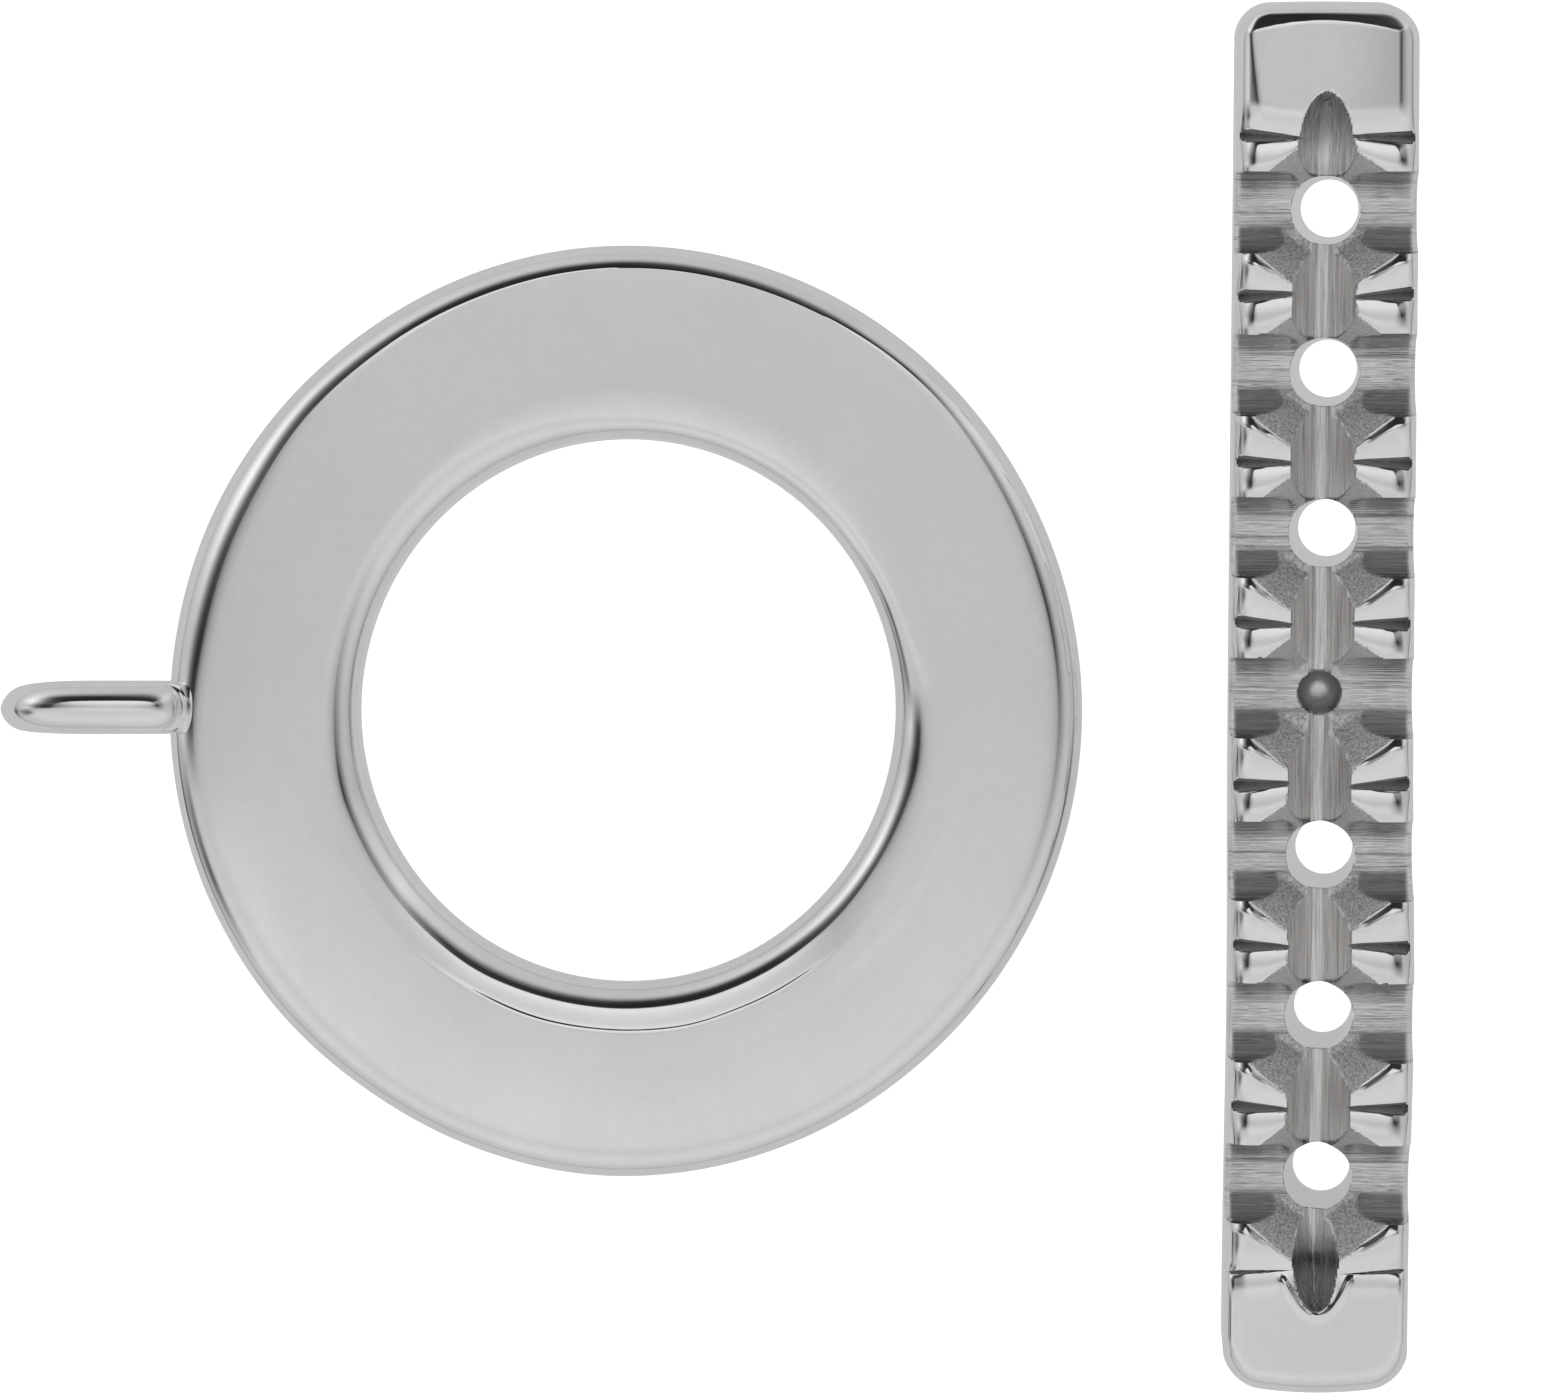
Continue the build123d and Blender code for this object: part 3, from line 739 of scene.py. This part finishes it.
def bar_heights(x, y):
    """Height of the metal over the bar's underside, and which tool left it there."""
    channel, seat, clear, steep, painted_shade, low_side = seats_and_channels(x, y)
    notch, clear_notch, low_half = saw_notches(x, y)
    groove, arch, lip = long_groove(x, y)
    top = block_top(x, y) - NOTCH_FALL * np.clip(NOTCH_FALL_REACH - clear_notch, 0, 0.4) ** 2
    short = np.clip(SEAT_FALL_REACH - clear, 0, 0.22)
    top = top - steep * short**2 / (short + SEAT_FALL_BEND)
    top = top + LIP_HIGH * lip
    channel = channel - round_drop(inside_outline(x, y), *CHANNEL_EDGE)
    height = lower_of(top, channel, SOFT_CORNER)
    height = lower_of(height, notch, SOFT_CORNER)
    before = height
    height = lower_of(height, groove, SOFT_CORNER)
    groove_cut = soft_step(before - groove, *MARK_SPAN)
    before = height
    height = lower_of(height, seat, SOFT_CORNER)
    seat_cut = soft_step(before - seat, *MARK_SPAN)
    # Where burrs stand on the ridge beside a seat, glints are painted.
    burr_glint = np.exp(-(((before - seat) / BURR_WIDE) ** 2)) * groove_cut
    burr_glint = burr_glint * np.where(x > 0, 1, LEFT_BURR) * (HIGH_BURR + (1 - HIGH_BURR) * low_side)
    off = np.hypot(x, y - SEAT_ROWS[MIDDLE_SEAT])
    pit = BAR_THICK - CHANNEL_DEEP - PIT_BELOW - np.sqrt(np.maximum(PIT_ROUND**2 - off**2, 0))
    height = np.minimum(height, np.where(off < PIT_ROUND, pit, FAR_OFF))
    pit_cut = soft_step(PIT_ROUND + PIT_RIM - off, 0, PIT_RIM)
    pit_wall = pit_cut * soft_step(off, *PIT_DARK_FROM)
    near_seat = soft_step(SEAT_MARGIN - clear, 0, SEAT_MARGIN)
    notch_cut = soft_step(top - notch, *NOTCH_MARK_SPAN) * (1 - groove_cut) * (1 - near_seat)
    channel_cut = soft_step(top - channel, *MARK_SPAN) * (1 - groove_cut) * (1 - seat_cut) * (1 - notch_cut)
    groove_cut = groove_cut * (1 - seat_cut) * (1 - pit_cut)
    side_in = BAR_WIDE / 2 - np.abs(x)
    # Painted shade for the groove's end arches, the pit's wall and the notches' lower halves.
    arch_dark = np.where(y < 0, LOW_ARCH_DARK, HIGH_ARCH_DARK)
    arch_dark = arch_dark - ARCH_SIDE_LESS * soft_step(np.abs(x), 0.06, 0.14)
    dark = (
        channel_cut * painted_shade * soft_step(side_in, 0.05, 0.10) * (1 - pit_cut),
        PIT_DARK * pit_wall,
        arch_dark * groove_cut * arch,
        NOTCH_DARK * notch_cut * low_half,
    )
    marks = {
        "cut": np.maximum.reduce([groove_cut, seat_cut, notch_cut, channel_cut, pit_cut]),
        "groove_cut": groove_cut,
        "seat_cut": np.maximum(seat_cut * (1 - pit_cut), 0.4 * pit_cut),
        "seat_low": seat_cut * (1 - pit_cut) * low_side,
        "notch_cut": notch_cut,
        "channel_cut": channel_cut * (1 - pit_cut),
        "painted_shade": np.maximum.reduce(dark),
        "burr_glint": burr_glint,
    }
    return height, marks


def along_notches(x, y):
    """Bends a row of points to follow the notches, which lean and widen outwards."""
    across = np.clip((np.abs(x) - GROOVE_HALF) / (BAR_WIDE / 2 - GROOVE_HALF), -0.05, 1.2)
    wide = (NOTCH_INNER + (NOTCH_DEEP - NOTCH_INNER) * across) / NOTCH_DEEP
    reach = 0.34
    for i, row in enumerate(NOTCH_ROWS):
        narrow = wide * NOTCH_SIZE[i] - 1
        off = y - row
        weight = np.clip((reach - np.abs(off)) / (reach - NOTCH_HALF), 0, 1)
        moved = y + weight * (notch_lean(i, x) + narrow * np.clip(off, -NOTCH_HALF, NOTCH_HALF))
        y = np.where(np.abs(off) < reach, moved, y)
    return y


# The skin is a row of loops along the bar, set closer where a tool left an edge.
NOTCH_SPAN, SEAT_SPAN, BED_SPAN, GROOVE_PAST, GROOVE_REACH = 0.14, 0.62, 0.30, 0.1, 0.46
CORNER_STEPS, SIDE_STEPS, WALL_STEPS = 24, 15, 6
CAP_MIDDLE = np.array([0, 0.8])
CAP_SCALES = (0.8, 0.55, 0.3, 0.1)
END_CROWN = {1: 0.03, -1: 0.13}
BULGE_PLACE, BULGE_LONG, BULGE_RIGHT, BULGE_LEFT = -4.0, 2.2, 0.05, 0.025
SIDE_OUT, LEFT_TAPER, END_SHORT, END_EASE = 0.03, 0.0033, 0.025, 1.2


def bunched(spans):
    """Places along a line from (start, end, step) spans, each as even as it can be."""
    places = []
    for start, end, step in spans:
        count = max(int(math.ceil((end - start) / step)), 1)
        places += list(np.linspace(start, end, count, endpoint=False))
    return places + [spans[-1][1]]


def notch_spans(row):
    """Close-set stations across one notch."""
    return [
        (row - NOTCH_SPAN, row - NOTCH_HALF, 0.015),
        (row - NOTCH_HALF, row, 0.021),
        (row, row + NOTCH_HALF, 0.021),
        (row + NOTCH_HALF, row + NOTCH_SPAN, 0.015),
    ]


half_long = BAR_LONG / 2
row_spans = notch_spans(NOTCH_ROWS[0])
for i, row in enumerate(SEAT_ROWS):
    row_spans += [
        (NOTCH_ROWS[i] + NOTCH_SPAN, row - SEAT_SPAN, 0.022),
        (row - SEAT_SPAN, row - BED_SPAN, 0.019),
        (row - BED_SPAN, row + BED_SPAN, 0.034),
        (row + BED_SPAN, row + SEAT_SPAN, 0.019),
        (row + SEAT_SPAN, NOTCH_ROWS[i + 1] - NOTCH_SPAN, 0.028),
        *notch_spans(NOTCH_ROWS[i + 1]),
    ]
start_flat = half_long - BAR_CORNER
corner_laps = np.linspace(0, math.pi / 2, CORNER_STEPS)[1:]
corner_places = [start_flat + BAR_CORNER * math.sin(a) for a in corner_laps]
past_groove = GROOVE_END + GROOVE_PAST
plain_tab = (past_groove, start_flat, 0.06)
high_tail = bunched([(NOTCH_ROWS[-1] + NOTCH_SPAN, past_groove, 0.03), plain_tab])
low_tail = bunched([(-NOTCH_ROWS[0] + NOTCH_SPAN, past_groove, 0.025), plain_tab])
stations = [-v for v in reversed(low_tail[1:] + corner_places)] + bunched(row_spans)
stations = np.array(stations + high_tail[1:] + corner_places)

side_laps = np.linspace(0, math.pi / 2, SIDE_STEPS)
side_round = [BAR_WIDE / 2 - BAR_TOP_ROUND * (1 - math.sin(a)) for a in side_laps]
half_spans = [
    (0.0, GROOVE_FLOOR, 0.0325),
    (GROOVE_FLOOR, GROOVE_REACH, 0.021),
    (GROOVE_REACH, side_round[0], 0.032),
]
half_across = np.array(bunched(half_spans)[:-1] + side_round)
half_across = half_across / half_across[-1]
across_shares = np.concatenate([half_across[::-1], -half_across[1:]])
base_shares = np.array([-1.0, -0.985, -0.96, -0.93, -0.88, -0.5, 0.0, 0.5, 0.88, 0.93, 0.96, 0.985])

loops, all_marks = [], []
low_caps, high_caps = [], []
for y in stations:
    over = max(abs(y) - start_flat, 0)
    half_wide = BAR_WIDE / 2 - BAR_CORNER + math.sqrt(max(BAR_CORNER**2 - over**2, 0))
    top_x = across_shares * half_wide
    top_y = along_notches(top_x, np.full_like(top_x, y))
    top_z, marks = bar_heights(top_x, top_y)
    base_x = base_shares * half_wide
    base_z = round_drop(inside_outline(base_x, np.full_like(base_x, y)), BAR_LOW_ROUND, BAR_LOW_ROUND, 2.0)
    wall_low = BAR_LOW_ROUND
    if over > 0:
        edge_inset = inside_outline(np.array([half_wide]), np.array([y]))
        wall_low = round_drop(edge_inset, BAR_LOW_ROUND, BAR_LOW_ROUND, 2.0)[0]
    right = wall_low + (top_z[0] - wall_low) * np.linspace(0, 1, WALL_STEPS + 1)[:-1]
    left = top_z[-1] + (wall_low - top_z[-1]) * np.linspace(0, 1, WALL_STEPS + 1)[1:-1]
    xs = np.concatenate([base_x, np.full(WALL_STEPS, half_wide), top_x, np.full(WALL_STEPS - 1, -half_wide)])
    zs = np.concatenate([base_z, right, top_z, left])
    ys = np.full_like(xs, y)
    ys[len(base_x) + WALL_STEPS : len(xs) - WALL_STEPS + 1] = top_y
    loops.append(np.stack([xs, ys, zs], 1))
    before, after = np.zeros(len(base_x) + WALL_STEPS), np.zeros(WALL_STEPS - 1)
    all_marks.append(np.stack([np.concatenate([before, m, after]) for m in marks.values()], 1))
loop_count = len(loops[0])
for scale in CAP_SCALES:
    for caps, end in ((low_caps, loops[0]), (high_caps, loops[-1])):
        shrunk = np.array(end)
        shrunk[:, [0, 2]] = CAP_MIDDLE + (end[:, [0, 2]] - CAP_MIDDLE) * scale
        caps.append(shrunk)
loops = low_caps[::-1] + loops + high_caps
all_marks = [all_marks[0] * 0] * len(low_caps) + all_marks + [all_marks[0] * 0] * len(high_caps)
bar_points = np.concatenate(loops)
bar_marks = np.concatenate(all_marks)

# Hand filing moved the sides and ends a little off the drawn block.
end_share = soft_step(np.abs(bar_points[:, 1]), half_long - END_EASE, half_long)
crown = np.where(bar_points[:, 1] > 0, END_CROWN[1], END_CROWN[-1]) * (bar_points[:, 0] / (BAR_WIDE / 2)) ** 2
bulge = np.exp(-(((bar_points[:, 1] - BULGE_PLACE) / BULGE_LONG) ** 2))
side_share = np.clip(np.abs(bar_points[:, 0]) / (BAR_WIDE / 2), 0, 1) ** 2
bar_points[:, 0] += bulge * side_share * np.where(bar_points[:, 0] > 0, BULGE_RIGHT, BULGE_LEFT)
bar_points[:, 0] += side_share * np.where(bar_points[:, 0] > 0, SIDE_OUT, LEFT_TAPER * bar_points[:, 1])
bar_points[:, 1] -= (np.sign(bar_points[:, 1]) * crown + END_SHORT * (bar_points[:, 1] > 0)) * end_share
quads = []
for i in range(len(loops) - 1):
    for k in range(loop_count):
        m = (k + 1) % loop_count
        here, ahead = i * loop_count, (i + 1) * loop_count
        quads.append((here + m, ahead + m, ahead + k, here + k))
quads.append(tuple(reversed(range(loop_count))))
quads.append(tuple(range((len(loops) - 1) * loop_count, len(loops) * loop_count)))
bar = mesh_piece("toggle_bar_metal", bar_points, quads)
for k, name in enumerate(marks):
    mark = bar.data.attributes.new(name, "FLOAT", "POINT")
    mark.data.foreach_set("value", np.ascontiguousarray(bar_marks[:, k], np.float32))


# The drill holes under the seats: each tapers a little and leans to one side, as the drill wandered.
# The middle seat has none, only the pit where a round bur was started.
DRILL_TOP, DRILL_LOW = 0.445, 0.373
DRILL_OFF, DRILL_LEAN = 0.03, (0.085, -0.03)
DRILL_SPAN = (-0.4, 2.2)


def drill(row, around=96):
    """A tapered drill as a closed mesh, from below the bar to above its seat."""
    angle = np.linspace(0, math.tau, around, endpoint=False)
    channel_floor = BAR_THICK - CHANNEL_DEEP
    rims = []
    for height in DRILL_SPAN:
        share = height / channel_floor
        radius = DRILL_LOW + (DRILL_TOP - DRILL_LOW) * share
        x = DRILL_OFF + DRILL_LEAN[0] * (1 - share) + radius * np.cos(angle)
        y = row + DRILL_LEAN[1] * (1 - share) + radius * np.sin(angle)
        rims.append(np.column_stack([x, y, np.full(around, height)]))
    return np.concatenate(rims), capped_tube(len(rims), around)


drill_points, drill_faces = [], []
for i, row in enumerate(SEAT_ROWS):
    if i != MIDDLE_SEAT:
        points, faces = drill(row)
        start = sum(len(p) for p in drill_points)
        drill_points.append(points)
        drill_faces += [tuple(v + start for v in f) for f in faces]
boolean(bar, mesh_piece("drills", np.concatenate(drill_points), drill_faces), "DIFFERENCE")


# The bar's eye: a plain loop of silver wire soldered under the middle of the bar, for the chain. The
# whole bar rests on this eye and on its low end.
BAR_EYE_DROP, BAR_EYE_OUTER, BAR_EYE_HOLE, BAR_EYE_WIDE = 0.31, 1.55, 0.75, 0.6
BAR_SHARP = 32
loop, quads = wire_loop(
    (0, 0, -BAR_EYE_DROP), BAR_EYE_OUTER, BAR_EYE_HOLE, BAR_EYE_WIDE, "YZ", around=88, across=24
)
boolean(bar, mesh_piece("bar_eye", loop.reshape(-1, 3), quads), "UNION")
bar.data.set_sharp_from_angle(angle=math.radians(BAR_SHARP))
bar_rest = (
    Matrix.Translation(Vector(BAR_MIDDLE) * MM)
    @ Matrix.Rotation(math.radians(BAR_TURN), 4, "Z")
    @ Matrix.Rotation(math.radians(BAR_LEAN), 4, "X")
)
lay_down(bar, bar_rest)
bar.data.materials.clear()
bar.data.materials.append(silver)
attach(bar, "root")
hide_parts("toggle_bar")
# The plain solids that both pieces replace take the same silver.
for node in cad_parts.values():
    node.data.materials.clear()
    node.data.materials.append(silver)


# The table is a flat sheet of plain white card under both pieces, not part of the clasp. It shows
# brighter to the camera than in the silver, as a lit white ground does in such a photograph.
FLOOR_HALF = 0.4
CARD_GREY, CARD_GLOW, CARD_REFLECTED = 0.35, 1.0, 0.39
floor_corners = [(sx * FLOOR_HALF, sy * FLOOR_HALF, 0) for sx, sy in ((-1, -1), (1, -1), (1, 1), (-1, 1))]
floor_mesh = bpy.data.meshes.new("table")
floor_mesh.from_pydata(floor_corners, [], [(0, 1, 2, 3)])
floor = bpy.data.objects.new("table", floor_mesh)
bpy.context.scene.collection.objects.link(floor)
paper = bpy.data.materials.new("white_paper")
paper.use_nodes = True
tree = paper.node_tree
tree.nodes.clear()
output = add_node(tree, "ShaderNodeOutputMaterial")
matte = add_node(tree, "ShaderNodeBsdfDiffuse")
matte.inputs["Color"].default_value = (CARD_GREY, CARD_GREY, CARD_GREY, 1)
glow = add_node(tree, "ShaderNodeEmission")
glow.inputs["Strength"].default_value = CARD_GLOW
ray = add_node(tree, "ShaderNodeLightPath")
dark = add_node(tree, "ShaderNodeEmission")
dark.inputs["Strength"].default_value = CARD_REFLECTED
both = add_node(tree, "ShaderNodeMixShader")
total = add_node(tree, "ShaderNodeAddShader")
tree.links.new(ray.outputs["Is Camera Ray"], both.inputs[0])
tree.links.new(dark.outputs[0], both.inputs[1])
tree.links.new(glow.outputs[0], both.inputs[2])
tree.links.new(matte.outputs[0], total.inputs[0])
tree.links.new(both.outputs[0], total.inputs[1])
tree.links.new(total.outputs[0], output.inputs["Surface"])
floor_mesh.materials.append(paper)


# The light is a white tent with darker gaps and panels. Each row of the table is one side of the
# tent by compass angle, and gives its brightness at steps of angle down from straight overhead. The
# last row is the first one again, a full turn on.
TENT_STRENGTH = 1.075
TENT_STEPS = (0, 5, 10, 15, 20, 21.8, 30, 38, 45, 52, 60, 76, 84, 92, 130)
TENT = (
    (-168, (0.52, 0.50, 0.50, 0.50, 0.50, 0.50, 0.52, 0.52, 0.46, 0.22, 0.22, 0.34, 0.06, 0.14, 0.50)),
    (-158, (0.52, 0.58, 0.58, 0.56, 0.55, 0.54, 0.56, 0.56, 0.44, 0.12, 0.12, 0.46, 0.20, 0.40, 0.60)),
    (-146, (0.52, 0.64, 0.61, 0.58, 0.57, 0.58, 0.61, 0.63, 0.63, 0.61, 0.52, 0.50, 0.38, 0.52, 0.65)),
    (-90, (0.52, 0.64, 0.62, 0.58, 0.57, 0.58, 0.61, 0.63, 0.63, 0.61, 0.58, 0.52, 0.44, 0.52, 0.65)),
    (-30, (0.52, 0.60, 0.60, 0.57, 0.57, 0.58, 0.60, 0.62, 0.62, 0.60, 0.58, 0.50, 0.40, 0.52, 0.65)),
    (0, (0.52, 0.52, 0.46, 0.40, 0.30, 0.18, 0.28, 0.40, 0.46, 0.48, 0.46, 0.40, 0.18, 0.35, 0.60)),
    (8, (0.52, 0.52, 0.46, 0.38, 0.20, 0.03, 0.22, 0.41, 0.46, 0.47, 0.45, 0.41, 0.22, 0.38, 0.60)),
    (15, (0.52, 0.52, 0.46, 0.38, 0.16, 0.01, 0.20, 0.42, 0.46, 0.46, 0.44, 0.42, 0.25, 0.42, 0.60)),
    (36, (0.52, 0.52, 0.56, 0.56, 0.56, 0.32, 0.34, 0.56, 0.64, 0.66, 0.66, 0.62, 0.55, 0.60, 0.60)),
    (46, (0.52, 0.52, 0.60, 0.66, 0.72, 0.04, 0.04, 0.30, 0.50, 0.56, 0.56, 0.54, 0.52, 0.52, 0.48)),
    (60, (0.52, 0.52, 0.62, 0.72, 0.74, 0.03, 0.03, 0.20, 0.42, 0.50, 0.50, 0.50, 0.50, 0.48, 0.45)),
    (90, (0.52, 0.53, 0.68, 0.76, 0.76, 0.02, 0.015, 0.04, 0.25, 0.46, 0.50, 0.50, 0.49, 0.48, 0.45)),
    (120, (0.52, 0.52, 0.58, 0.70, 0.70, 0.03, 0.02, 0.05, 0.30, 0.58, 0.62, 0.56, 0.50, 0.50, 0.50)),
    (150, (0.52, 0.48, 0.42, 0.34, 0.25, 0.09, 0.10, 0.35, 0.70, 0.98, 0.85, 0.55, 0.50, 0.50, 0.50)),
    (170, (0.52, 0.48, 0.40, 0.26, 0.10, 0.03, 0.03, 0.12, 0.30, 0.45, 0.50, 0.50, 0.40, 0.50, 0.50)),
    (180, (0.52, 0.50, 0.44, 0.34, 0.20, 0.06, 0.05, 0.20, 0.44, 0.66, 0.60, 0.46, 0.30, 0.40, 0.50)),
    (192, (0.52, 0.50, 0.50, 0.50, 0.50, 0.50, 0.52, 0.52, 0.46, 0.22, 0.22, 0.34, 0.06, 0.14, 0.50)),
)
world = bpy.data.worlds.new("light_tent")
bpy.context.scene.world = world
world.use_nodes = True
tree = world.node_tree
tree.nodes.clear()
output = add_node(tree, "ShaderNodeOutputWorld")
background = add_node(tree, "ShaderNodeBackground")
tree.links.new(background.outputs[0], output.inputs[0])
look = add_node(tree, "ShaderNodeTexCoord")
parts = add_node(tree, "ShaderNodeSeparateXYZ")
tree.links.new(look.outputs["Generated"], parts.inputs[0])
east, north, up = parts.outputs
away = number(tree, "DIVIDE", number(tree, "ARCCOSINE", up), math.radians(TENT_STEPS[-1]))
compass = number(tree, "MULTIPLY", number(tree, "ARCTAN2", north, east), 180 / math.pi)
wrapped = number(tree, "LESS_THAN", compass, TENT[0][0])
compass = number(tree, "MULTIPLY_ADD", wrapped, 360.0, compass)


def tent_side(levels):
    """One side of the tent as a ramp down from overhead."""
    node = add_node(tree, "ShaderNodeValToRGB")
    stops = node.color_ramp.elements
    for step, level in zip(TENT_STEPS[1:-1], levels[1:-1]):
        stops.new(step / TENT_STEPS[-1]).color = (level, level, level, 1)
    stops[0].color = (levels[0], levels[0], levels[0], 1)
    stops[len(stops) - 1].color = (levels[-1], levels[-1], levels[-1], 1)
    tree.links.new(away, node.inputs[0])
    return node.outputs[0]


tent = tent_side(TENT[0][1])
for (start, _), (end, levels) in zip(TENT, TENT[1:]):
    turned = add_node(tree, "ShaderNodeMapRange")
    turned.inputs["From Min"].default_value = start
    turned.inputs["From Max"].default_value = end
    tree.links.new(compass, turned.inputs["Value"])
    side = add_node(tree, "ShaderNodeMix", data_type="RGBA")
    tree.links.new(turned.outputs[0], side.inputs[0])
    tree.links.new(tent, side.inputs[6])
    tree.links.new(tent_side(levels), side.inputs[7])
    tent = side.outputs[2]
tree.links.new(tent, background.inputs["Color"])
background.inputs["Strength"].default_value = TENT_STRENGTH


# The camera looks almost straight down from well above, a little to the right of the middle.
IMAGE_WIDE = 1552
AIM = Vector((0.958, 0.027, 1.5)) * MM
CAMERA_OVER = Vector((4.958, 0.027, 90.0)) * MM
PIXELS_PER_MM = 76.3
SENSOR_WIDE = 36.0
camera_data = bpy.data.cameras.new("camera")
camera = bpy.data.objects.new("camera", camera_data)
bpy.context.scene.collection.objects.link(camera)
back = (CAMERA_OVER - AIM).normalized()
right = Vector((0, 1, 0)).cross(back).normalized()
turned_down = Matrix((right, back.cross(right), back)).transposed().to_4x4()
camera.matrix_world = Matrix.Translation(CAMERA_OVER) @ turned_down
camera_data.sensor_fit = "HORIZONTAL"
camera_data.sensor_width = SENSOR_WIDE
camera_data.lens = PIXELS_PER_MM * (AIM - CAMERA_OVER).length / MM / IMAGE_WIDE * SENSOR_WIDE
camera_data.clip_start = 0.001
camera_data.clip_end = 10.0
bpy.context.scene.camera = camera
bpy.context.scene.view_settings.view_transform = "Standard"
